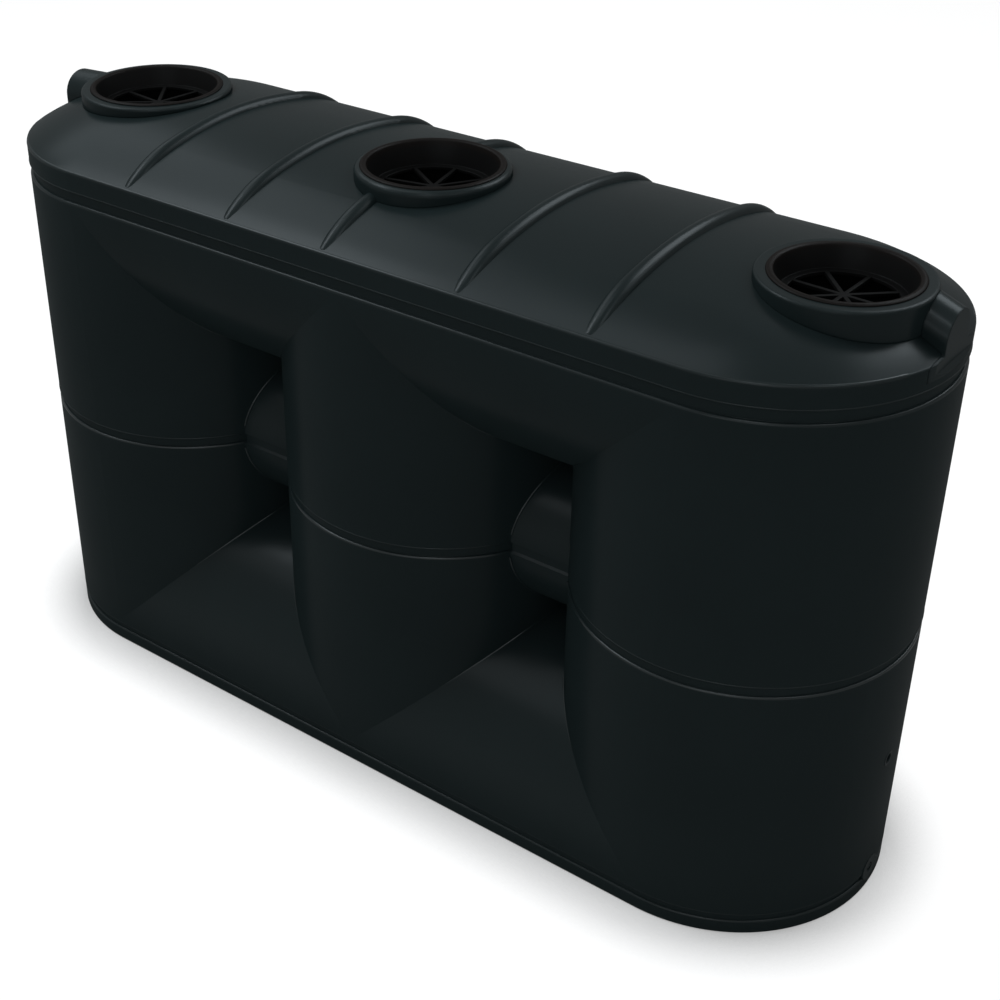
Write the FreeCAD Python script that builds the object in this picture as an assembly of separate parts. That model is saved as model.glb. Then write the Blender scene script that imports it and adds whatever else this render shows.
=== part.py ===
# Slimline water tank in moulded plastic, millimetres, standing on the floor at z = 0.
# The long side runs along X, the front faces -Y and the outlets are on the +X end.
import math
import os

import FreeCAD
import Part
from FreeCAD import Vector

# Overall sizes
tank_width = 1000.0
column_gap = 77.0
wall = 8.0
base_line = 84.0
tie_radius = 248.0
tie_wall = 14.0
lower_slot = 34.0
upper_slot = 46.0
shoulder_height = 105.0
roof_rise = 119.0

# Heights and lines that follow from them: arches as wide as the tank, a slot, the tie, a slot
radius = tank_width / 2
inner_radius = radius - wall
column_pitch = tank_width + column_gap
end_x = column_pitch
tie_line = base_line + radius + lower_slot + tie_radius
top_line = tie_line + tie_radius + upper_slot + radius
shoulder_top = top_line + shoulder_height
roof_crown = shoulder_top + roof_rise
tie_bore = tie_radius - tie_wall

# Grooves round the body
groove_bevel = 3.5
base_groove = {"z": base_line - 40.0, "depth": 6.0, "rise": 30.0}
tie_groove = {"z": tie_line - 16.0, "depth": 7.0, "rise": 38.0}
top_groove = {"z": top_line + 2.0, "depth": 9.0, "rise": 46.0}

# Foot and floor
foot_round = 9.0
foot_strip = 20.0

# Roof arch: a flat crown arc to this angle, then side arcs of this radius to the shoulder edge
crown_angle = math.radians(12.375)
side_radius = 620.0
edge_inset = 4.2
edge_rise = 6.6
edge_turn = (0.17, 0.56)
edge_steps = 5

# Roof ribs
rib_radius = 28.0
rib_sink = 10.0
rib_end_gap = 6.0
rib_end_trim = math.radians(1.0)
outer_rib = column_pitch - 257.0
inner_rib = column_pitch / 2 - 125.5
middle_rib = -48.0
rib_places = [-outer_rib, -inner_rib, middle_rib, inner_rib, outer_rib]

# Access collars, from the column lines and the roof's crown, with their strainers
collars = {
    "left": {"x": -end_x - 104.0, "y": -2.0, "top": roof_crown + 11.0, "radius": 244.0, "round": 8.0},
    "middle": {"x": 0.0, "y": -53.0, "top": roof_crown + 22.0, "radius": 229.0, "round": 16.0},
    "right": {"x": end_x + 195.0, "y": -30.0, "top": roof_crown + 16.0, "radius": 229.0, "round": 8.0},
}
strainers = {
    "left": {"rim": 215.0, "depth": 64.0, "turn": 128.0},
    "middle": {"rim": 212.0, "depth": 76.0, "turn": 148.0},
    "right": {"rim": 198.0, "depth": 67.0, "turn": 133.0},
}
rim_width = 16.0
rim_height = 6.0
basket_wall = 4.0
basket_taper = 16.0
base_ring = 25.0
spoke_count = 8
spoke_width = 11.0
spoke_height = 10.0
screen_thickness = 2.0
screen_inset = 6.0

# Overflow boxes
overflow_half = 71.0
overflow_ledge = 20.0
overflows = {
    "left": {"inset": 24.0, "top": roof_crown - 3.0, "rise": 8.0},
    "right": {"inset": 13.0, "top": roof_crown - 10.0, "rise": 24.0},
}

# Outlets on the right end, and the strip of wall that carries them
outlets = {
    "upper_outlet": {"z": base_line + 403.0, "pad": 24.0, "bore": 15.2},
    "lower_outlet": {"z": base_line - 12.0, "pad": 43.0, "bore": 15.2},
}
outlet_proud = 0.6
outlet_depth = 34.0
panel_angle = math.radians(20.0)

# How far a cutting shape reaches past what it cuts
cut_margin = 20.0

X = Vector(1, 0, 0)
Y = Vector(0, 1, 0)
Z = Vector(0, 0, 1)
columns = {"left": -end_x, "middle": 0.0, "right": end_x}
bays = {"left": (-end_x, 0.0), "right": (0.0, end_x)}
signs = {"left": -1, "right": 1}
os.makedirs("parts", exist_ok=True)


def save(name, shape, merge=True):
    clean = shape.removeSplitter() if merge else shape
    solids = clean.Solids
    print(name, "solids", len(solids), "volume", round(clean.Volume / 1e6, 3), "valid", clean.isValid())
    if len(solids) == 1:
        clean = solids[0]
    clean.exportStep("parts/" + name + ".step")


def polygon(points):
    return Part.makePolygon(points + [points[0]])


def fuse_all(shapes):
    return shapes[0].fuse(shapes[1:]) if len(shapes) > 1 else shapes[0]


def box(low, high):
    size = [high[i] - low[i] for i in range(3)]
    return Part.makeBox(size[0], size[1], size[2], Vector(low[0], low[1], low[2]))


def upright(r, low, high, x, y=0.0):
    return Part.makeCylinder(r, high - low, Vector(x, y, low), Z)


def along_x(r, low, high, z, y=0.0):
    return Part.makeCylinder(r, high - low, Vector(low, y, z), X)


# A section is a closed list of (distance from the middle line, height) points
def stadium_ring(section):
    pieces = []
    for side in (-1, 1):
        end = Part.Face(polygon([Vector(side * end_x, -r, z) for r, z in section]))
        axis = Vector(side * end_x, 0, 0)
        pieces.append(end.revolve(axis, Z, 180 * side))
        flank = Part.Face(polygon([Vector(-end_x, side * r, z) for r, z in section]))
        pieces.append(flank.extrude(X * (2 * end_x)))
    return fuse_all(pieces)


def round_ring(section, x, y=0.0):
    face = Part.Face(polygon([Vector(x + r, y, z) for r, z in section]))
    return face.revolve(Vector(x, y, 0), Z, 360)


def stadium_plate(r, low, high):
    middle = box((-end_x, -r, low), (end_x, r, high))
    return fuse_all([middle, upright(r, low, high, -end_x), upright(r, low, high, end_x)])


# Outer line of a groove, from its lower edge to its upper edge
def groove_line(groove, r):
    foot = groove["z"]
    depth = groove["depth"]
    head = foot + groove["rise"]
    return [(r, foot), (r - depth, foot + depth), (r - depth, head - groove_bevel), (r, head)]


# The same groove seen from inside, one wall behind
def groove_back(groove, r):
    foot = groove["z"] - wall
    depth = groove["depth"]
    head = groove["z"] + groove["rise"] + wall
    return [(r, foot), (r - depth, foot + depth), (r - depth, head - depth), (r, head)]


def arc_points(centre, r, first, last, steps):
    points = []
    for i in range(steps + 1):
        a = math.radians(first + (last - first) * i / steps)
        points.append((centre[0] + r * math.cos(a), centre[1] + r * math.sin(a)))
    return points


# Base: a low band with a rounded foot and the base groove, round a flat floor
def base_band():
    outer = arc_points((radius - foot_round, foot_round), foot_round, -90, 0, 3)
    outer += groove_line(base_groove, radius)
    outer.append((radius, base_line))
    inner = [(inner_radius, base_line)]
    inner += [p for p in reversed(groove_back(base_groove, inner_radius)) if p[1] < base_line]
    inner.append((inner_radius, wall))
    floor_edge = inner_radius - foot_strip
    return stadium_ring([(floor_edge, 0.0)] + outer + inner + [(floor_edge, wall)])


def base_floor():
    return stadium_plate(inner_radius - foot_strip, 0.0, wall)


# Half-space beyond an end column's line, or on one side of the middle plane
def beyond_end(sign):
    xs = sorted((sign * end_x, sign * (end_x + 2 * radius)))
    return box((xs[0], -2 * radius, 0.0), (xs[1], 2 * radius, roof_crown))


def between_ends(sign):
    ys = sorted((0.0, sign * 2 * radius))
    return box((-end_x, ys[0], 0.0), (end_x, ys[1], roof_crown))


# Strip of the right end that carries the outlets, as a wedge about the end's axis
def panel_wedge():
    reach = 2 * radius
    low = Vector(end_x + reach * math.cos(panel_angle), -reach * math.sin(panel_angle), 0)
    high = Vector(low.x, -low.y, 0)
    return Part.Face(polygon([Vector(end_x, 0, 0), low, high])).extrude(Z * tie_line)


# The front and back parts of a shape that the strip leaves on the right end
def beside_panel(shape):
    parts = sorted(shape.cut(panel_wedge()).Solids, key=lambda part: part.CenterOfMass.y)
    return {"front": parts[0], "back": parts[-1]}


# Columns: upright tubes, mitred where the arches between them come in
def column_tube(x, lower):
    if lower:
        outer = [(radius, base_line)] + groove_line(tie_groove, radius)[:2]
        outer.append((radius - tie_groove["depth"], tie_line))
        inner = [(inner_radius - tie_groove["depth"], tie_line)]
        inner += list(reversed(groove_back(tie_groove, inner_radius)[:2]))
        inner.append((inner_radius, base_line))
    else:
        outer = [(radius - tie_groove["depth"], tie_line)] + groove_line(tie_groove, radius)[2:]
        outer.append((radius, top_line))
        inner = [(inner_radius, top_line)]
        inner += list(reversed(groove_back(tie_groove, inner_radius)[2:]))
        inner.append((inner_radius - tie_groove["depth"], tie_line))
    return round_ring(outer + inner, x)


# Wedge of space an arch takes between two column lines, as seen from the front
def arch_wedge(x_low, x_high, lower):
    half = (x_high - x_low) / 2
    reach = radius + cut_margin
    if lower:
        line = base_line
        tip = line + half
    else:
        line = top_line
        tip = line - half
    corners = [(x_low, line), (x_high, line), ((x_low + x_high) / 2, tip)]
    face = Part.Face(polygon([Vector(x, -reach, z) for x, z in corners]))
    return face.extrude(Y * (2 * reach))


def arch(x_low, x_high, lower):
    line = base_line if lower else top_line
    tube = along_x(radius, x_low, x_high, line).cut(along_x(inner_radius, x_low, x_high, line))
    return tube.common(arch_wedge(x_low, x_high, lower))


def ties_bore():
    return along_x(tie_bore, -end_x, end_x, tie_line)


def column_parts(side, lower):
    tube = column_tube(columns[side], lower)
    for low, high in bays.values():
        tube = tube.cut(arch_wedge(low, high, lower))
    tube = tube.cut(ties_bore())
    if side == "middle":
        return {"column": tube}
    outside = beyond_end(signs[side])
    return {"end": tube.common(outside), "column": tube.cut(outside)}


# Ties: short tubes between neighbouring columns, with the groove carried across
def tie(low, high):
    tube = along_x(tie_radius, low, high, tie_line)
    for side in (-1, 1):
        line = groove_line(tie_groove, tie_radius)
        line = line + [(tie_radius + cut_margin, line[3][1]), (tie_radius + cut_margin, line[0][1])]
        cutter = Part.Face(polygon([Vector(low, side * r, z) for r, z in line]))
        tube = tube.cut(cutter.extrude(X * (high - low)))
    tube = tube.cut(along_x(tie_bore, low, high, tie_line))
    for x in (low, high):
        tube = tube.cut(upright(radius, base_line, top_line, x))
    return tube


# Band under the roof with the top groove
def shoulder_band():
    outer = [(radius, top_line)] + groove_line(top_groove, radius) + [(radius, shoulder_top)]
    inner = [(inner_radius, shoulder_top)] + list(reversed(groove_back(top_groove, inner_radius)[1:]))
    inner.append((inner_radius - top_groove["depth"], top_line))
    return stadium_ring(outer + inner)


# Roof arch: the crown radius is the one that brings the side arcs to the shoulder edge
def crown_arc():
    span = radius - edge_inset
    fall = roof_rise - edge_rise
    s = math.sin(crown_angle)
    v = 1 - math.cos(crown_angle)
    square = s * s + v * v
    linear = 2 * ((side_radius - fall) * v - span * s)
    constant = span * span + fall * fall - 2 * side_radius * fall
    root = math.sqrt(linear * linear - 4 * square * constant)
    return side_radius + (-linear - root) / (2 * square)


crown_radius = crown_arc()
crown_centre = roof_crown - crown_radius
crown_lean = Vector(0, math.sin(crown_angle), math.cos(crown_angle))
roof_joint = Vector(0, 0, crown_centre) + crown_lean * crown_radius
side_centre = roof_joint - crown_lean * side_radius


def crown_point(r, angle):
    return Vector(0, r * math.sin(angle), crown_centre + r * math.cos(angle))


def side_point(r, angle):
    return side_centre + Vector(0, r * math.sin(angle), r * math.cos(angle))


def side_angle(spread, r):
    return math.asin((spread - side_centre.y) / r)


def roof_half(offset, low):
    spread = radius - edge_inset if offset == 0 else inner_radius
    r1 = crown_radius - offset
    r2 = side_radius - offset
    last = side_angle(spread, r2)
    crown = [crown_point(r1, crown_angle * share) for share in (0.0, 0.5, 1.0)]
    side = [side_point(r2, crown_angle + (last - crown_angle) * share) for share in (0.0, 0.5, 1.0)]
    edges = [Part.Arc(crown[0], crown[1], crown[2]).toShape()]
    edges.append(Part.Arc(side[0], side[1], side[2]).toShape())
    foot = side[2]
    if offset == 0:
        turn = Vector(0, radius - edge_turn[0] * edge_inset, shoulder_top + edge_turn[1] * edge_rise)
        foot = Vector(0, radius, shoulder_top)
        rounding = Part.Arc(side[2], turn, foot).toShape().discretize(edge_steps + 1)
        for i in range(edge_steps):
            edges.append(Part.makeLine(rounding[i], rounding[i + 1]))
    corner = Vector(0, foot.y, low)
    edges.append(Part.makeLine(foot, corner))
    edges.append(Part.makeLine(corner, Vector(0, 0, low)))
    edges.append(Part.makeLine(Vector(0, 0, low), crown[0]))
    return Part.Face(Part.Wire(edges))


def roof_block(offset, low):
    half = roof_half(offset, low)
    other = half.mirror(Vector(0, 0, 0), Y)
    pieces = []
    for face in (half, other):
        start = face.translated(Vector(-end_x, 0, 0))
        pieces.append(start.extrude(X * (2 * end_x)))
    for side in (-1, 1):
        turned = half.translated(Vector(side * end_x, 0, 0))
        pieces.append(turned.revolve(Vector(side * end_x, 0, 0), Z, -180 * side))
    return fuse_all(pieces)


def collar_hole(spec, low, high):
    return upright(spec["radius"] - wall, low, high, spec["x"], spec["y"])


def overflow_face(side):
    return signs[side] * (end_x + radius - overflows[side]["inset"])


def overflow_back(side):
    return overflow_face(side) - signs[side] * wall


# Everything past the back of the flat face on one end, above a ledge over the top groove
def overflow_cut(side):
    low = top_groove["z"] + top_groove["rise"] + overflow_ledge
    xs = sorted((overflow_back(side), signs[side] * (end_x + 2 * radius)))
    return box((xs[0], -radius, low), (xs[1], radius, roof_crown + radius))


# Collars: upstand round each opening with a flat top flange
def collar(side, roof_solid):
    spec = collars[side]
    r = spec["radius"]
    top = spec["top"]
    bend = spec["round"]
    hole = strainers[side]["rim"] - rim_width
    outer = [(r - wall, shoulder_top), (r, shoulder_top)]
    outer += arc_points((r - bend, top - bend), bend, 0, 90, 4)
    inner = [(hole, top), (hole, top - wall), (r - wall, top - wall)]
    ring = round_ring(outer + inner, spec["x"], spec["y"])
    return ring.cut(roof_solid)


# Strainer: rounded rim on the flange, tapered wall, bottom ring and spokes in one moulding
def strainer(side):
    place = collars[side]
    spec = strainers[side]
    top = place["top"]
    floor = top - spec["depth"]
    tube = spec["rim"] - rim_width
    foot = tube - basket_taper
    half = (rim_width + basket_wall) / 2
    lip = arc_points((spec["rim"] - half, 0.0), half, 0, 180, 6)
    section = [(r, top + z * rim_height / half) for r, z in lip]
    section += [(foot - basket_wall, floor + spoke_height), (foot - base_ring, floor + spoke_height)]
    section += [(foot - base_ring, floor), (foot, floor), (tube, top)]
    ring = round_ring(section, place["x"], place["y"])
    reach = foot - (base_ring + basket_wall) / 2
    spokes = []
    for i in range(spoke_count // 2):
        bar = Part.makeBox(2 * reach, spoke_width, spoke_height, Vector(-reach, -spoke_width / 2, 0))
        bar.rotate(Vector(0, 0, 0), Z, spec["turn"] + 360.0 * i / spoke_count)
        bar.translate(Vector(place["x"], place["y"], floor))
        spokes.append(bar)
    return ring.fuse(spokes)


def screen(side):
    place = collars[side]
    spec = strainers[side]
    floor = place["top"] - spec["depth"]
    r = spec["rim"] - rim_width - basket_taper - screen_inset
    return upright(r, floor - screen_thickness, floor, place["x"], place["y"])


# Overflow box: round-topped duct from a collar, falling to a flat face on the end
def duct(side, offset, start):
    spec = overflows[side]
    half = overflow_half - offset
    lift = spec["top"] - overflow_half
    low = shoulder_top - overflow_half
    feet = [Vector(start, -half, low), Vector(start, half, low)]
    heads = [Vector(start, -half, lift), Vector(start, half, lift)]
    edges = [Part.makeLine(feet[0], heads[0])]
    edges.append(Part.Arc(heads[0], Vector(start, 0, lift + half), heads[1]).toShape())
    edges.append(Part.makeLine(heads[1], feet[1]))
    edges.append(Part.makeLine(feet[1], feet[0]))
    run = abs(overflow_face(side) - collars[side]["x"]) - collars[side]["radius"]
    reach = collars[side]["x"] - start
    return Part.Face(Part.Wire(edges)).extrude(Vector(reach, 0, abs(reach) * spec["rise"] / run))


# The flat face, with a sloped ledge from its foot out to the band
def overflow_plate(side, inside):
    low = top_groove["z"] + top_groove["rise"] + overflow_ledge
    face = overflow_face(side)
    back = overflow_back(side)
    edge = signs[side] * (end_x + radius)
    knee = low + overflows[side]["inset"]
    top = overflows[side]["top"]
    corners = [(back, low), (edge, low), (face, knee), (face, top), (back, top)]
    plate = Part.Face(polygon([Vector(x, -radius, z) for x, z in corners]))
    return plate.extrude(Y * (2 * radius)).common(inside)


def overflow_box(side, roof_solid, inside):
    spec = collars[side]
    shell = duct(side, 0.0, overflow_face(side)).cut(duct(side, wall, overflow_back(side)))
    shell = shell.cut(roof_solid.cut(overflow_cut(side)))
    shell = shell.cut(upright(spec["radius"], 0.0, 2 * roof_crown, spec["x"], spec["y"]))
    return overflow_plate(side, inside).fuse(shell)


# Rib: low round bar over the roof, with tighter tails that sink into it just short of the shoulders
def rib(x, roof_solid):
    tip_angle = side_angle(radius - rib_end_gap, side_radius)
    reach = side_point(side_radius, tip_angle) - roof_joint
    lean = reach.dot(crown_lean)
    spare = reach.dot(reach) + 2 * rib_sink * lean + rib_sink * rib_sink - rib_radius * rib_radius
    tail_radius = spare / (2 * (rib_radius - rib_sink - lean))
    tail_centre = roof_joint - crown_lean * (tail_radius + rib_sink)
    to_tip = roof_joint + reach - tail_centre
    last = math.atan2(to_tip.y, to_tip.z) - rib_end_trim
    along = Vector(0, crown_lean.z, -crown_lean.y)
    disc = Part.Face(Part.Wire(Part.makeCircle(rib_radius, roof_joint - crown_lean * rib_sink, along)))
    tail = disc.revolve(tail_centre, X, -math.degrees(last - crown_angle))
    crown = disc.revolve(Vector(0, 0, crown_centre), X, 2 * math.degrees(crown_angle))
    other = tail.mirror(Vector(0, 0, 0), Y)
    bar = fuse_all([crown, tail, other]).removeSplitter()
    return bar.translated(X * x).cut(roof_solid)


def outlet(spec):
    face = end_x + radius + outlet_proud
    pad = along_x(spec["pad"], face - outlet_depth, face, spec["z"])
    return pad.cut(along_x(spec["bore"], face - outlet_depth, face, spec["z"]))


def outlet_hole(spec):
    return along_x(spec["pad"], end_x + radius / 2, end_x + 2 * radius, spec["z"])


# Base, with the right end's band beside the outlet strip
outlet_holes = fuse_all([outlet_hole(spec) for spec in outlets.values()])
band = base_band()
save("base_floor", base_floor())
save("base_front", band.common(between_ends(-1)))
save("base_back", band.common(between_ends(1)))
save("base_left_end", band.common(beyond_end(-1)))
right_band = band.common(beyond_end(1))
for place, shape in beside_panel(right_band).items():
    save("base_right_end_" + place, shape)

# Columns, round ends, arches and ties
for side in columns:
    for level, lower in (("lower", True), ("upper", False)):
        for kind, shape in column_parts(side, lower).items():
            name = side + "_" + kind + "_" + level
            if name != "right_end_lower":
                save(name, shape)
                continue
            for place, half in beside_panel(shape).items():
                save(name + "_" + place, half)
            strip = right_band.fuse(shape).common(panel_wedge())
            save("outlet_panel", strip.cut(outlet_holes))
for side, (low, high) in bays.items():
    save(side + "_lower_arch", arch(low, high, True))
    save(side + "_upper_arch", arch(low, high, False))
    save(side + "_tie", tie(low, high))

# Roof
roof_solid = roof_block(0, top_line)
inside = roof_block(0, top_line)
cuts = fuse_all([overflow_cut(side) for side in signs])
save("shoulder_band", shoulder_band().cut(cuts))
roof_above = box((-4 * end_x, -radius * 2, shoulder_top), (4 * end_x, radius * 2, 2 * roof_crown))
roof_shell = roof_solid.cut(roof_block(wall, top_line)).common(roof_above).cut(cuts)
for spec in collars.values():
    roof_shell = roof_shell.cut(collar_hole(spec, 0.0, 2 * roof_crown))
save("roof", roof_shell)

# Collars, strainers and overflow boxes
for side in collars:
    save(side + "_collar", collar(side, roof_solid))
    save(side + "_strainer", strainer(side))
    save(side + "_strainer_screen", screen(side))
for side in signs:
    save(side + "_overflow_box", overflow_box(side, roof_solid, inside))

# Ribs and outlets
for number, x in enumerate(rib_places):
    bar = rib(x, roof_block(0, top_line))
    for spec in collars.values():
        if abs(x - spec["x"]) < spec["radius"] + rib_radius:
            bar = bar.cut(upright(spec["radius"], 0.0, 2 * roof_crown, spec["x"], spec["y"]))
    runs = sorted(bar.Solids, key=lambda run: run.CenterOfMass.y)
    if len(runs) == 1:
        save("roof_rib_" + str(number + 1), runs[0], False)
    else:
        save("roof_rib_" + str(number + 1) + "_front", runs[0], False)
        save("roof_rib_" + str(number + 1) + "_back", runs[-1], False)
for name, spec in outlets.items():
    save(name, outlet(spec))
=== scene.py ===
import math

import bpy
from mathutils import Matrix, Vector


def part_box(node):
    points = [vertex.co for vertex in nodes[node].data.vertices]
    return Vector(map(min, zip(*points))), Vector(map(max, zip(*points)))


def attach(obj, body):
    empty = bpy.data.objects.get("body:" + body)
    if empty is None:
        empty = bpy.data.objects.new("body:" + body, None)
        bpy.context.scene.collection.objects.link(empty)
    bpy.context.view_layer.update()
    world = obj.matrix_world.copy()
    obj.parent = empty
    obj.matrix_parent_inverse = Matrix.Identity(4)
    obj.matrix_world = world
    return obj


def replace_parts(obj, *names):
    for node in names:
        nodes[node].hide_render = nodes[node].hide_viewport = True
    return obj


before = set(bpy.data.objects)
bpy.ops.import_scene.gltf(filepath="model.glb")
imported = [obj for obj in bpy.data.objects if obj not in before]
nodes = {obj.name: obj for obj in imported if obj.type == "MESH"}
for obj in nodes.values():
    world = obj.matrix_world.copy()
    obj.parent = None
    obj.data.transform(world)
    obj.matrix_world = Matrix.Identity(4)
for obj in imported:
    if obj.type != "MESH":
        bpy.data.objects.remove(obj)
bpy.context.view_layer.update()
bpy.ops.object.select_all(action="DESELECT")
print("frame loaded,", len(nodes), "nodes")


# camera, solved from the tank's outline and grooves
shot = {
    "place": (2.752, -3.590, 3.547),
    "turnDegrees": (59.44, 0.0, 37.47),
    "lens": 59.05,
    "sensor": 36.0,
    "shift": (0.0554, -0.0338),
    "farClip": 200.0,
}


def makeCamera():
    turn = [math.radians(a) for a in shot["turnDegrees"]]
    bpy.ops.object.camera_add(location=shot["place"], rotation=turn)
    camera = bpy.context.object
    camera.name = "camera"
    camera.data.sensor_width = shot["sensor"]
    camera.data.lens = shot["lens"]
    camera.data.shift_x, camera.data.shift_y = shot["shift"]
    camera.data.clip_end = shot["farClip"]
    bpy.context.scene.camera = camera


makeCamera()
print("camera placed")


# small helpers for node trees
def addNode(tree, kind, **settings):
    node = tree.nodes.new(kind)
    for key, value in settings.items():
        setattr(node, key, value)
    return node


def link(tree, source, target):
    tree.links.new(source, target)


def newMaterial(name):
    material = bpy.data.materials.new(name)
    material.use_nodes = True
    material.node_tree.nodes.clear()
    return material, material.node_tree


# skin of a rotation-moulded piece: slow tone drift, orange peel and a fine grain,
# and a mask of the faces that look up
skinSpec = {
    "detail": {"Drift Size": 4.0, "Peel Size": 2.0, "Grain Size": 3.0},
    "noiseSpan": (0.3, 0.7),
    "grainShare": 0.25,
    "slopeFull": 0.35,
}


def makeMouldedSkin():
    group = bpy.data.node_groups.new("mouldedSkin", "ShaderNodeTree")
    for name in ("Drift Size", "Peel Size", "Grain Size", "Peel Height"):
        group.interface.new_socket(name, in_out="INPUT", socket_type="NodeSocketFloat")
    for name in ("Drift", "Grain", "Height", "Slope"):
        group.interface.new_socket(name, in_out="OUTPUT", socket_type="NodeSocketFloat")
    inlet = addNode(group, "NodeGroupInput")
    outlet = addNode(group, "NodeGroupOutput")
    place = addNode(group, "ShaderNodeTexCoord")
    noises = {}
    for name, detail in skinSpec["detail"].items():
        noise = addNode(group, "ShaderNodeTexNoise")
        noise.inputs["Detail"].default_value = detail
        link(group, place.outputs["Object"], noise.inputs["Vector"])
        link(group, inlet.outputs[name], noise.inputs["Scale"])
        noises[name] = noise.outputs["Fac"]
    peel = addNode(group, "ShaderNodeMath", operation="MULTIPLY")
    link(group, noises["Peel Size"], peel.inputs[0])
    link(group, inlet.outputs["Peel Height"], peel.inputs[1])
    height = addNode(group, "ShaderNodeMath", operation="MULTIPLY_ADD")
    height.inputs[1].default_value = skinSpec["grainShare"]
    link(group, noises["Grain Size"], height.inputs[0])
    link(group, peel.outputs[0], height.inputs[2])
    axes = addNode(group, "ShaderNodeSeparateXYZ")
    link(group, place.outputs["Normal"], axes.inputs[0])
    slope = addNode(group, "ShaderNodeMapRange", interpolation_type="SMOOTHSTEP")
    slope.inputs["From Max"].default_value = skinSpec["slopeFull"]
    link(group, axes.outputs["Z"], slope.inputs["Value"])
    link(group, noises["Drift Size"], outlet.inputs["Drift"])
    link(group, noises["Grain Size"], outlet.inputs["Grain"])
    link(group, height.outputs[0], outlet.inputs["Height"])
    link(group, slope.outputs["Result"], outlet.inputs["Slope"])
    return group


mouldedSkin = makeMouldedSkin()


# spreads a noise over the span from low to high
def ramp(tree, source, low, high):
    node = addNode(tree, "ShaderNodeMapRange")
    first, last = skinSpec["noiseSpan"]
    node.inputs["From Min"].default_value = first
    node.inputs["From Max"].default_value = last
    node.inputs["To Min"].default_value = low
    node.inputs["To Max"].default_value = high
    link(tree, source, node.inputs["Value"])
    return node.outputs["Result"]


# another tone above a height, as on the strainers' rims
def rimTone(tree, colour, rim):
    low, high = rim["heights"]
    place = addNode(tree, "ShaderNodeTexCoord")
    axes = addNode(tree, "ShaderNodeSeparateXYZ")
    link(tree, place.outputs["Object"], axes.inputs[0])
    level = addNode(tree, "ShaderNodeMapRange")
    level.inputs["From Min"].default_value = low
    level.inputs["From Max"].default_value = high
    link(tree, axes.outputs["Z"], level.inputs["Value"])
    mix = addNode(tree, "ShaderNodeMix", data_type="RGBA")
    mix.inputs["B"].default_value = (*rim["colour"], 1.0)
    link(tree, level.outputs["Result"], mix.inputs["Factor"])
    link(tree, colour, mix.inputs["A"])
    return mix.outputs["Result"]


edgeSamples = 4  # rays of the soft edges on fittings and strainers


def mouldedPlastic(name, look):
    material, tree = newMaterial(name)
    out = addNode(tree, "ShaderNodeOutputMaterial")
    skin = addNode(tree, "ShaderNodeGroup", node_tree=mouldedSkin)
    for key, value in look["skin"].items():
        skin.inputs[key].default_value = value
    shader = addNode(tree, "ShaderNodeBsdfPrincipled")
    shader.inputs["Specular IOR Level"].default_value = look["specular"]
    shader.inputs["Coat Roughness"].default_value = look["coatRoughness"]
    # faces that look up are glossier than the walls
    gloss = addNode(tree, "ShaderNodeMapRange")
    gloss.inputs["To Min"].default_value = look["wallCoat"]
    gloss.inputs["To Max"].default_value = look["coat"]
    link(tree, skin.outputs["Slope"], gloss.inputs["Value"])
    link(tree, gloss.outputs["Result"], shader.inputs["Coat Weight"])
    tone = addNode(tree, "ShaderNodeMix", data_type="RGBA")
    tone.inputs["A"].default_value = (*look["dark"], 1.0)
    tone.inputs["B"].default_value = (*look["light"], 1.0)
    link(tree, ramp(tree, skin.outputs["Drift"], 0.0, 1.0), tone.inputs["Factor"])
    colour = tone.outputs["Result"]
    if "rim" in look:
        colour = rimTone(tree, colour, look["rim"])
    link(tree, colour, shader.inputs["Base Color"])
    rough = ramp(tree, skin.outputs["Grain"], *look["roughness"])
    link(tree, rough, shader.inputs["Roughness"])
    bump = addNode(tree, "ShaderNodeBump")
    bump.inputs["Strength"].default_value = look["bump"]
    bump.inputs["Distance"].default_value = look["bumpHeight"]
    link(tree, skin.outputs["Height"], bump.inputs["Height"])
    if "edge" in look:
        edge = addNode(tree, "ShaderNodeBevel", samples=edgeSamples)
        edge.inputs["Radius"].default_value = look["edge"]
        link(tree, edge.outputs["Normal"], bump.inputs["Normal"])
    link(tree, bump.outputs["Normal"], shader.inputs["Normal"])
    link(tree, bump.outputs["Normal"], shader.inputs["Coat Normal"])
    link(tree, shader.outputs["BSDF"], out.inputs["Surface"])
    return material


tankLook = {
    "dark": (0.0072, 0.0105, 0.0107),
    "light": (0.0080, 0.0117, 0.0119),
    "roughness": (0.42, 0.50),
    "specular": 0.0,
    "coat": 0.108,
    "wallCoat": 0.045,
    "coatRoughness": 0.26,
    "bump": 0.2,
    "bumpHeight": 0.0004,
    "skin": {"Drift Size": 2.6, "Peel Size": 95.0, "Grain Size": 800.0, "Peel Height": 0.6},
}
fittingLook = dict(tankLook, edge=0.006, wallCoat=0.08)
lipLook = dict(tankLook, coat=0.17, wallCoat=0.10, coatRoughness=0.22)
creaseLook = dict(tankLook, coat=0.30, wallCoat=0.20, coatRoughness=0.24)
strainerLook = {
    "dark": (0.0036, 0.0034, 0.0033),
    "light": (0.0044, 0.0042, 0.0041),
    "roughness": (0.40, 0.50),
    "specular": 0.0,
    "coat": 0.06,
    "wallCoat": 0.045,
    "coatRoughness": 0.38,
    "bump": 0.2,
    "bumpHeight": 0.0003,
    "edge": 0.004,
    "rim": {"heights": (1.890, 1.901), "colour": (0.0054, 0.0043, 0.0038)},
    "skin": {"Drift Size": 9.0, "Peel Size": 220.0, "Grain Size": 1500.0, "Peel Height": 0.3},
}
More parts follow.
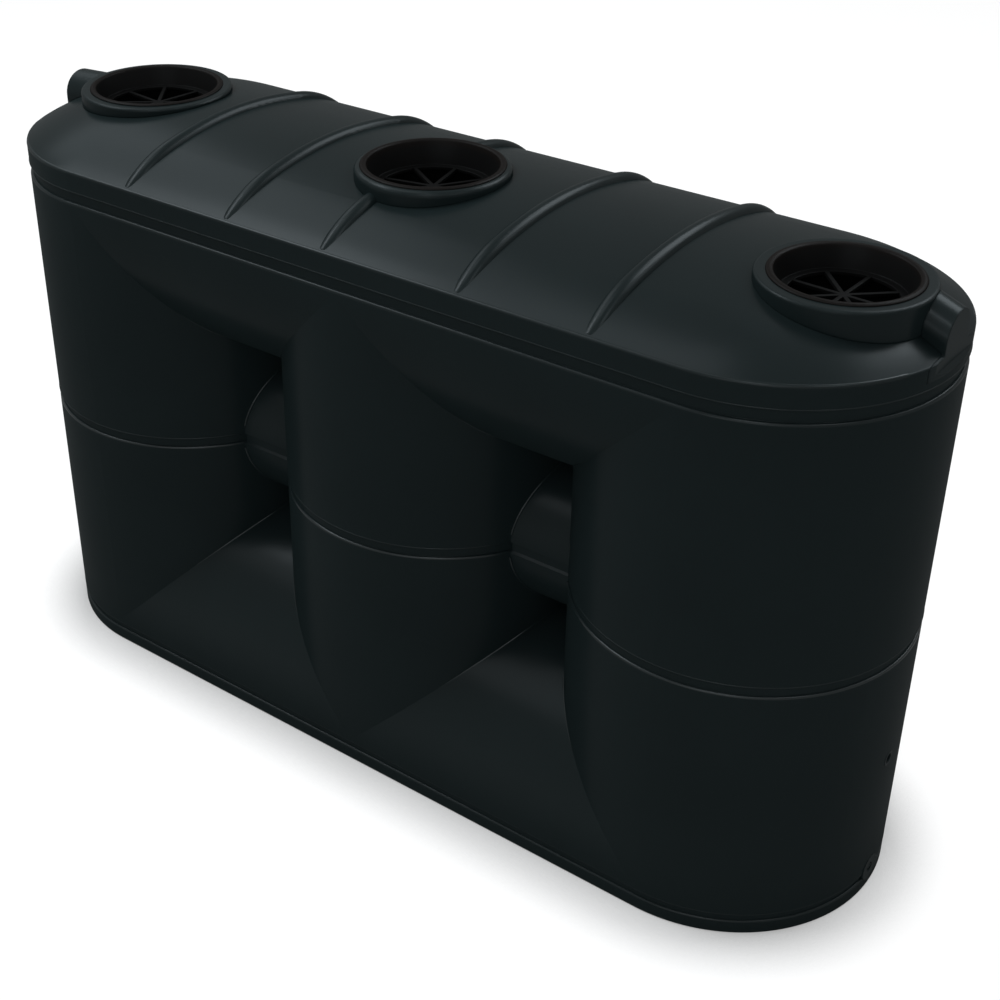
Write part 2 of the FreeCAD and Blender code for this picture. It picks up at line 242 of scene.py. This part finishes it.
netLook = {
    "dark": (0.0008, 0.0008, 0.0008),
    "light": (0.0013, 0.0013, 0.0013),
    "roughness": (0.45, 0.55),
    "specular": 0.0,
    "coat": 0.0,
    "wallCoat": 0.0,
    "coatRoughness": 0.3,
    "bump": 0.1,
    "bumpHeight": 0.0001,
    "skin": {"Drift Size": 40.0, "Peel Size": 900.0, "Grain Size": 4000.0, "Peel Height": 0.2},
}
tankPlastic = mouldedPlastic("tankPlastic", tankLook)
fittingPlastic = mouldedPlastic("fittingPlastic", fittingLook)
lipPlastic = mouldedPlastic("lipPlastic", lipLook)
creasePlastic = mouldedPlastic("creasePlastic", creaseLook)
strainerPlastic = mouldedPlastic("strainerPlastic", strainerLook)
netWire = mouldedPlastic("netWire", netLook)
fittings = ("_collar", "_overflow_box", "_outlet")

for name, node in nodes.items():
    if name.endswith("_strainer"):
        finish = strainerPlastic
    elif name.endswith("_screen"):
        finish = netWire
    elif name.endswith(fittings):
        finish = fittingPlastic
    else:
        finish = tankPlastic
    for i in range(len(node.material_slots)):
        node.material_slots[i].material = finish
print("materials on", len(nodes), "nodes")


# helpers for new pieces
def dropIn(name, body, material):
    piece = bpy.context.object
    piece.name = name
    piece.data.materials.clear()
    piece.data.materials.append(material)
    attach(piece, body)
    return piece


def applyAll(piece):
    bpy.context.view_layer.objects.active = piece
    for modifier in list(piece.modifiers):
        bpy.ops.object.modifier_apply(modifier=modifier.name)


# strainer nets: straight wires in two crossed layers, cut to the screen's circle
netSpec = {
    "pitch": 0.0045,
    "wire": 0.0009,
    "sides": 6,
    "margin": 0.0005,
    "uncutLength": 2.2,  # of a wire, in radii of the screen
    "rimSides": 96,
    "cutterDepth": 0.1,
    "smoothDegrees": 50.0,
}


def makeNet(name, node):
    low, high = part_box(node)
    middle = (low + high) / 2
    radius = (high.x - low.x) / 2
    pitch, wire = netSpec["pitch"], netSpec["wire"]
    count = int(2 * radius / pitch) + 1
    start = -pitch * (count - 1) / 2
    bpy.ops.object.select_all(action="DESELECT")
    bpy.ops.mesh.primitive_cylinder_add(
        vertices=netSpec["sides"], radius=wire / 2, depth=netSpec["uncutLength"] * radius)
    layer = bpy.context.object
    bpy.ops.object.mode_set(mode="EDIT")
    bpy.ops.mesh.select_all(action="SELECT")
    bpy.ops.transform.rotate(value=math.pi / 2, orient_axis="Y", center_override=(0, 0, 0))
    bpy.ops.transform.translate(value=(middle.x, middle.y + start, high.z - wire / 2))
    bpy.ops.object.mode_set(mode="OBJECT")
    row = layer.modifiers.new("row", "ARRAY")
    row.count = count
    row.use_relative_offset = False
    row.use_constant_offset = True
    row.constant_offset_displace = (0, pitch, 0)
    applyAll(layer)
    bpy.ops.mesh.primitive_cylinder_add(
        vertices=netSpec["rimSides"], radius=radius - netSpec["margin"],
        depth=netSpec["cutterDepth"], location=middle)
    cutter = bpy.context.object
    trim = layer.modifiers.new("trim", "BOOLEAN")
    trim.operation = "INTERSECT"
    trim.solver = "EXACT"
    trim.object = cutter
    applyAll(layer)
    bpy.ops.object.select_all(action="DESELECT")
    cutter.select_set(True)
    bpy.ops.object.delete()
    layer.select_set(True)
    bpy.context.view_layer.objects.active = layer
    # the second layer crosses under the first
    bpy.ops.object.mode_set(mode="EDIT")
    bpy.ops.mesh.select_all(action="SELECT")
    bpy.ops.mesh.duplicate()
    bpy.ops.transform.rotate(value=math.pi / 2, orient_axis="Z", center_override=middle)
    bpy.ops.transform.translate(value=(0, 0, -wire))
    bpy.ops.object.mode_set(mode="OBJECT")
    bpy.ops.object.shade_smooth_by_angle(angle=math.radians(netSpec["smoothDegrees"]))
    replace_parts(dropIn(name, "root", netWire), node)


for side in ("left", "middle", "right"):
    makeNet(side + "StrainerNet", side + "_strainer_screen")
print("nets woven")


# helpers for beads: a circle is cut and shaped in edit mode, then given a round section
beadSpec = {"rounds": 3}


def pickPoints(test):
    mesh = bpy.context.object.data
    bpy.ops.object.mode_set(mode="EDIT")
    bpy.ops.mesh.select_all(action="DESELECT")
    bpy.ops.object.mode_set(mode="OBJECT")
    for vertex in mesh.vertices:
        vertex.select = test(vertex.co)
    bpy.ops.object.mode_set(mode="EDIT")


def keepPoints(keep):
    pickPoints(lambda co: not keep(co))
    bpy.ops.mesh.delete(type="VERT")
    bpy.ops.mesh.select_all(action="SELECT")


def even(co):
    return 1.0


# weight gives the bead's thickness at each point, from 0 to 1
def turnToBead(bead, weight):
    bpy.ops.object.mode_set(mode="OBJECT")
    bpy.ops.object.convert(target="CURVE")
    curve = bpy.context.object.data
    curve.bevel_depth = bead
    curve.bevel_resolution = beadSpec["rounds"]
    curve.use_fill_caps = True
    for spline in curve.splines:
        for point in spline.points:
            point.radius = weight(point.co)
    bpy.ops.object.convert(target="MESH")
    return bpy.context.object


def mirrorAt(piece, axis, place):
    shift = [0, 0, 0]
    shift[axis] = -place
    bpy.ops.object.mode_set(mode="EDIT")
    bpy.ops.mesh.select_all(action="SELECT")
    bpy.ops.transform.translate(value=shift)
    bpy.ops.object.mode_set(mode="OBJECT")
    flip = piece.modifiers.new("flip", "MIRROR")
    flip.use_axis = [i == axis for i in range(3)]
    flip.use_mirror_merge = False
    applyAll(piece)
    bpy.ops.object.mode_set(mode="EDIT")
    bpy.ops.mesh.select_all(action="SELECT")
    bpy.ops.transform.translate(value=[-v for v in shift])
    bpy.ops.mesh.normals_make_consistent(inside=False)
    bpy.ops.object.mode_set(mode="OBJECT")


# slim fillets in the creases where columns meet the arches and the ties
creaseSpec = {
    "radius": 0.5,
    "pitch": 1.077,
    "arches": (0.084, 1.660),
    "archSteps": 120,
    "archSlack": 0.001,
    "fadeDegrees": (24.0, 50.0),
    "thinnest": 0.05,
    "tieRadius": 0.248,
    "tieLine": 0.866,
    "tieSteps": 96,
    "tieSlack": 0.01,
    "grooveBand": (0.838, 0.902),
    "bead": 0.0042,
    "sink": 0.0013,
}


def makeArchFillets():
    radius, sink = creaseSpec["radius"], creaseSpec["sink"]
    thinnest, slack = creaseSpec["thinnest"], creaseSpec["archSlack"]
    first, full = (radius * math.sin(math.radians(a)) for a in creaseSpec["fadeDegrees"])
    low, high = creaseSpec["arches"]

    def fade(co):
        return min(1.0, max(thinnest, (co.x - first) / (full - first)))

    bpy.ops.object.select_all(action="DESELECT")
    bpy.ops.mesh.primitive_circle_add(
        vertices=creaseSpec["archSteps"], radius=radius - sink, location=(0, 0, 0))
    keepPoints(lambda co: co.x > first and co.y < slack)
    # the crease is a slanted cut through the column, half an ellipse
    bpy.ops.transform.resize(value=(math.sqrt(2), 1, 1), center_override=(0, 0, 0))
    bpy.ops.transform.rotate(value=math.pi / 4, orient_axis="Y", center_override=(0, 0, 0))
    bpy.ops.transform.translate(value=(0, 0, low - sink))
    piece = turnToBead(creaseSpec["bead"], fade)
    mirrorAt(piece, 0, creaseSpec["pitch"] / 2)
    mirrorAt(piece, 0, 0.0)
    mirrorAt(piece, 1, 0.0)
    mirrorAt(piece, 2, (low + high) / 2)
    bpy.ops.object.shade_smooth()
    dropIn("archFillets", "root", creasePlastic)


def makeTieFillets():
    radius, tie, line = creaseSpec["radius"], creaseSpec["tieRadius"], creaseSpec["tieLine"]
    low, high = creaseSpec["grooveBand"]
    slack = creaseSpec["tieSlack"]
    bpy.ops.object.select_all(action="DESELECT")
    bpy.ops.mesh.primitive_circle_add(
        vertices=creaseSpec["tieSteps"], radius=tie, location=(0, 0, 0))
    keepPoints(lambda co: co.y < -slack and not low < line + co.x < high)
    bpy.ops.transform.rotate(value=math.pi / 2, orient_axis="Y", center_override=(0, 0, 0))
    bpy.ops.transform.translate(value=(0, 0, line))
    bpy.ops.object.mode_set(mode="OBJECT")
    # laid onto the round column
    for vertex in bpy.context.object.data.vertices:
        vertex.co.x = math.sqrt(radius ** 2 - vertex.co.y ** 2) - creaseSpec["sink"]
    piece = turnToBead(creaseSpec["bead"], even)
    mirrorAt(piece, 0, creaseSpec["pitch"] / 2)
    mirrorAt(piece, 0, 0.0)
    mirrorAt(piece, 1, 0.0)
    bpy.ops.object.shade_smooth()
    dropIn("tieFillets", "root", creasePlastic)


makeArchFillets()
makeTieFillets()
print("creases filled")


# rounded lips: height, inset from the wall and bead radius of each
lipSpec = {
    "reach": 0.5,
    "endLine": 1.077,
    "steps": 192,
    "base": ((0.044, 0.0060, 0.0060), (0.0744, 0.0018, 0.0022)),
    "tie": ((0.850, 0.0070, 0.0070), (0.8884, 0.0014, 0.0024)),
    "top": ((1.662, 0.0090, 0.0090), (1.7084, 0.0014, 0.0024)),
    "roof": (1.7660, 0.0076, 0.0080),
    "tieFlank": 0.2425,
    "roofEnds": (-1.541, 1.552),
    "roofFade": 0.03,
    "thinnest": 0.1,
}


def startCircle(inset):
    bpy.ops.object.select_all(action="DESELECT")
    bpy.ops.mesh.primitive_circle_add(
        vertices=lipSpec["steps"], radius=lipSpec["reach"] - inset, location=(0, 0, 0))


# outline of the tank as a ring: a circle with its halves drawn apart
def startRing(height, inset):
    halfStep = math.pi / lipSpec["steps"]
    startCircle(inset)
    bpy.ops.object.mode_set(mode="EDIT")
    bpy.ops.transform.rotate(value=halfStep, orient_axis="Z", center_override=(0, 0, 0))
    for side in (-1, 1):
        pickPoints(lambda co: co.x * side > 0)
        bpy.ops.transform.translate(value=(side * lipSpec["endLine"], 0, 0))
    bpy.ops.mesh.select_all(action="SELECT")
    bpy.ops.transform.translate(value=(0, 0, height))


# a column's circle, open where the ties meet it
def startColumnArc(side, height, inset):
    flank = lipSpec["tieFlank"]
    startCircle(inset)
    keepPoints(lambda co: abs(co.y) > flank or co.x * side > 0)
    bpy.ops.transform.translate(value=(side * lipSpec["endLine"], 0, height))


def joinBeads(name, beads, material):
    bpy.ops.object.select_all(action="DESELECT")
    for bead in beads:
        bead.select_set(True)
    bpy.context.view_layer.objects.active = beads[0]
    if len(beads) > 1:
        bpy.ops.object.join()
    bpy.ops.object.mode_set(mode="EDIT")
    bpy.ops.mesh.select_all(action="SELECT")
    bpy.ops.mesh.normals_make_consistent(inside=False)
    bpy.ops.object.mode_set(mode="OBJECT")
    bpy.ops.object.shade_smooth()
    dropIn(name, "root", material)


def columnBeads(height, inset, bead):
    beads = []
    for side in (-1, 0, 1):
        startColumnArc(side, height, inset)
        beads.append(turnToBead(bead, even))
    return beads


def makeLips():
    lower, upper = lipSpec["tie"]
    joinBeads("tieLips", columnBeads(*lower), creasePlastic)
    beads = columnBeads(*upper)
    for height, inset, bead in lipSpec["base"] + lipSpec["top"]:
        startRing(height, inset)
        beads.append(turnToBead(bead, even))
    joinBeads("grooveLips", beads, lipPlastic)


# the roof's lip thins out into the wall before the flat end faces
def makeRoofLip():
    height, inset, bead = lipSpec["roof"]
    low, high = lipSpec["roofEnds"]

    def fade(co):
        share = min(co.x - low, high - co.x) / lipSpec["roofFade"]
        return min(1.0, max(lipSpec["thinnest"], share))

    startRing(height, inset)
    keepPoints(lambda co: low < co.x < high)
    joinBeads("roofLip", [turnToBead(bead, fade)], lipPlastic)


makeRoofLip()
makeLips()
print("lips rounded")


# floor: white to the eye, with the tank's contact shadow
studio = {
    "floorSize": 120.0,
    "glow": 0.95,
    "eyeAlbedo": 0.10,
    "bounce": (0.78, 0.75, 0.73),
    "contactReach": 0.20,
    "contactDepth": 0.40,
    "contactFrom": 0.5,
    "contactSamples": 4,
    "ambient": 0.10,
    "centre": (0.0, 0.0, 1.2),
    "lampTint": (0.90, 1.0, 1.06),
}


# 1 for rays from the camera, from gloss and through glass
def seenDirectly(tree):
    path = addNode(tree, "ShaderNodeLightPath")
    first = addNode(tree, "ShaderNodeMath", operation="MAXIMUM")
    second = addNode(tree, "ShaderNodeMath", operation="MAXIMUM")
    link(tree, path.outputs["Is Camera Ray"], first.inputs[0])
    link(tree, path.outputs["Is Glossy Ray"], first.inputs[1])
    link(tree, first.outputs[0], second.inputs[0])
    link(tree, path.outputs["Is Transmission Ray"], second.inputs[1])
    return second.outputs[0]


def makeFloor():
    bpy.ops.object.select_all(action="DESELECT")
    bpy.ops.mesh.primitive_plane_add(size=studio["floorSize"], location=(0, 0, 0))
    floor = bpy.context.object
    floor.name = "floor"
    material, tree = newMaterial("studioFloor")
    out = addNode(tree, "ShaderNodeOutputMaterial")
    choose = addNode(tree, "ShaderNodeMixShader")
    bounce = addNode(tree, "ShaderNodeBsdfDiffuse")
    bounce.inputs["Color"].default_value = (*studio["bounce"], 1.0)
    lit = addNode(tree, "ShaderNodeBsdfDiffuse")
    lit.inputs["Color"].default_value = (*[studio["eyeAlbedo"]] * 3, 1.0)
    glow = addNode(tree, "ShaderNodeEmission")
    contact = addNode(tree, "ShaderNodeAmbientOcclusion", samples=studio["contactSamples"])
    contact.inputs["Distance"].default_value = studio["contactReach"]
    depth = addNode(tree, "ShaderNodeMapRange")
    depth.inputs["From Min"].default_value = studio["contactFrom"]
    depth.inputs["To Min"].default_value = studio["glow"] * studio["contactDepth"]
    depth.inputs["To Max"].default_value = studio["glow"]
    link(tree, contact.outputs["AO"], depth.inputs["Value"])
    link(tree, depth.outputs["Result"], glow.inputs["Strength"])
    both = addNode(tree, "ShaderNodeAddShader")
    link(tree, lit.outputs["BSDF"], both.inputs[0])
    link(tree, glow.outputs["Emission"], both.inputs[1])
    link(tree, seenDirectly(tree), choose.inputs["Fac"])
    link(tree, bounce.outputs["BSDF"], choose.inputs[1])
    link(tree, both.outputs["Shader"], choose.inputs[2])
    link(tree, choose.outputs["Shader"], out.inputs["Surface"])
    floor.data.materials.append(material)


# world: white where it is seen, dim as a light
def makeWorld():
    world = bpy.data.worlds.new("studio")
    bpy.context.scene.world = world
    world.use_nodes = True
    tree = world.node_tree
    tree.nodes.clear()
    out = addNode(tree, "ShaderNodeOutputWorld")
    sky = addNode(tree, "ShaderNodeBackground")
    sky.inputs["Color"].default_value = (1.0, 1.0, 1.0, 1.0)
    level = addNode(tree, "ShaderNodeMapRange")
    level.inputs["To Min"].default_value = studio["ambient"]
    level.inputs["To Max"].default_value = 1.0
    link(tree, seenDirectly(tree), level.inputs["Value"])
    link(tree, level.outputs["Result"], sky.inputs["Strength"])
    link(tree, sky.outputs["Background"], out.inputs["Surface"])


# soft boxes all around, the key high on the left
# a fill doesn't show in the gloss, a card shows only there
softBoxes = {
    "keyLeft": {"place": (-5.65, -1.73, 7.99), "size": (3.0, 3.2), "power": 467.0},
    "leftHigh": {"place": (-4.50, 0.16, 8.99), "size": (3.6, 3.6), "power": 73.0},
    "leftBack": {"place": (-6.43, 1.84, 7.22), "size": (3.8, 4.4), "power": 189.0, "use": "card"},
    "top": {"place": (-2.05, -0.74, 9.93), "size": (3.2, 3.2), "power": 129.0},
    "backRight": {"place": (4.11, 4.56, 7.78), "size": (4.6, 4.6), "power": 226.0},
    "backFill": {"place": (-2.81, 7.73, 4.86), "size": (7.0, 3.0), "power": 158.0, "use": "fill"},
    "backCard": {"place": (1.51, 6.07, 7.67), "size": (4.4, 4.0), "power": 664.0, "use": "card"},
    "rightHigh": {"place": (5.21, -0.92, 8.48), "size": (2.4, 2.0), "power": 98.0, "use": "card"},
    "frontTop": {"place": (2.42, -4.56, 8.57), "size": (2.0, 1.7), "power": 107.0, "use": "card"},
    "frontRight": {"place": (3.45, -5.97, 6.99), "size": (6.0, 4.6), "power": 95.0},
    "frontLeft": {"place": (-3.99, -5.10, 7.45), "size": (4.6, 3.4), "power": 118.0},
    "rightFill": {"place": (8.34, 0.0, 4.57), "size": (5.0, 3.0), "power": 100.0, "use": "fill"},
    "frontLow": {"place": (2.99, -8.21, 3.38), "size": (6.0, 2.5), "power": 141.0},
}


def makeSoftBoxes():
    for name, spec in softBoxes.items():
        aim = Vector(studio["centre"]) - Vector(spec["place"])
        turn = aim.to_track_quat("-Z", "Y").to_euler()
        bpy.ops.object.light_add(type="AREA", location=spec["place"], rotation=turn)
        lamp = bpy.context.object
        lamp.name = name
        lamp.data.shape = "RECTANGLE"
        lamp.data.size, lamp.data.size_y = spec["size"]
        lamp.data.energy = spec["power"]
        lamp.data.color = studio["lampTint"]
        lamp.visible_camera = False
        lamp.visible_glossy = spec.get("use") != "fill"
        lamp.visible_diffuse = spec.get("use") != "card"


makeFloor()
makeWorld()
makeSoftBoxes()
bpy.context.scene.view_settings.view_transform = "Standard"
print("studio set")
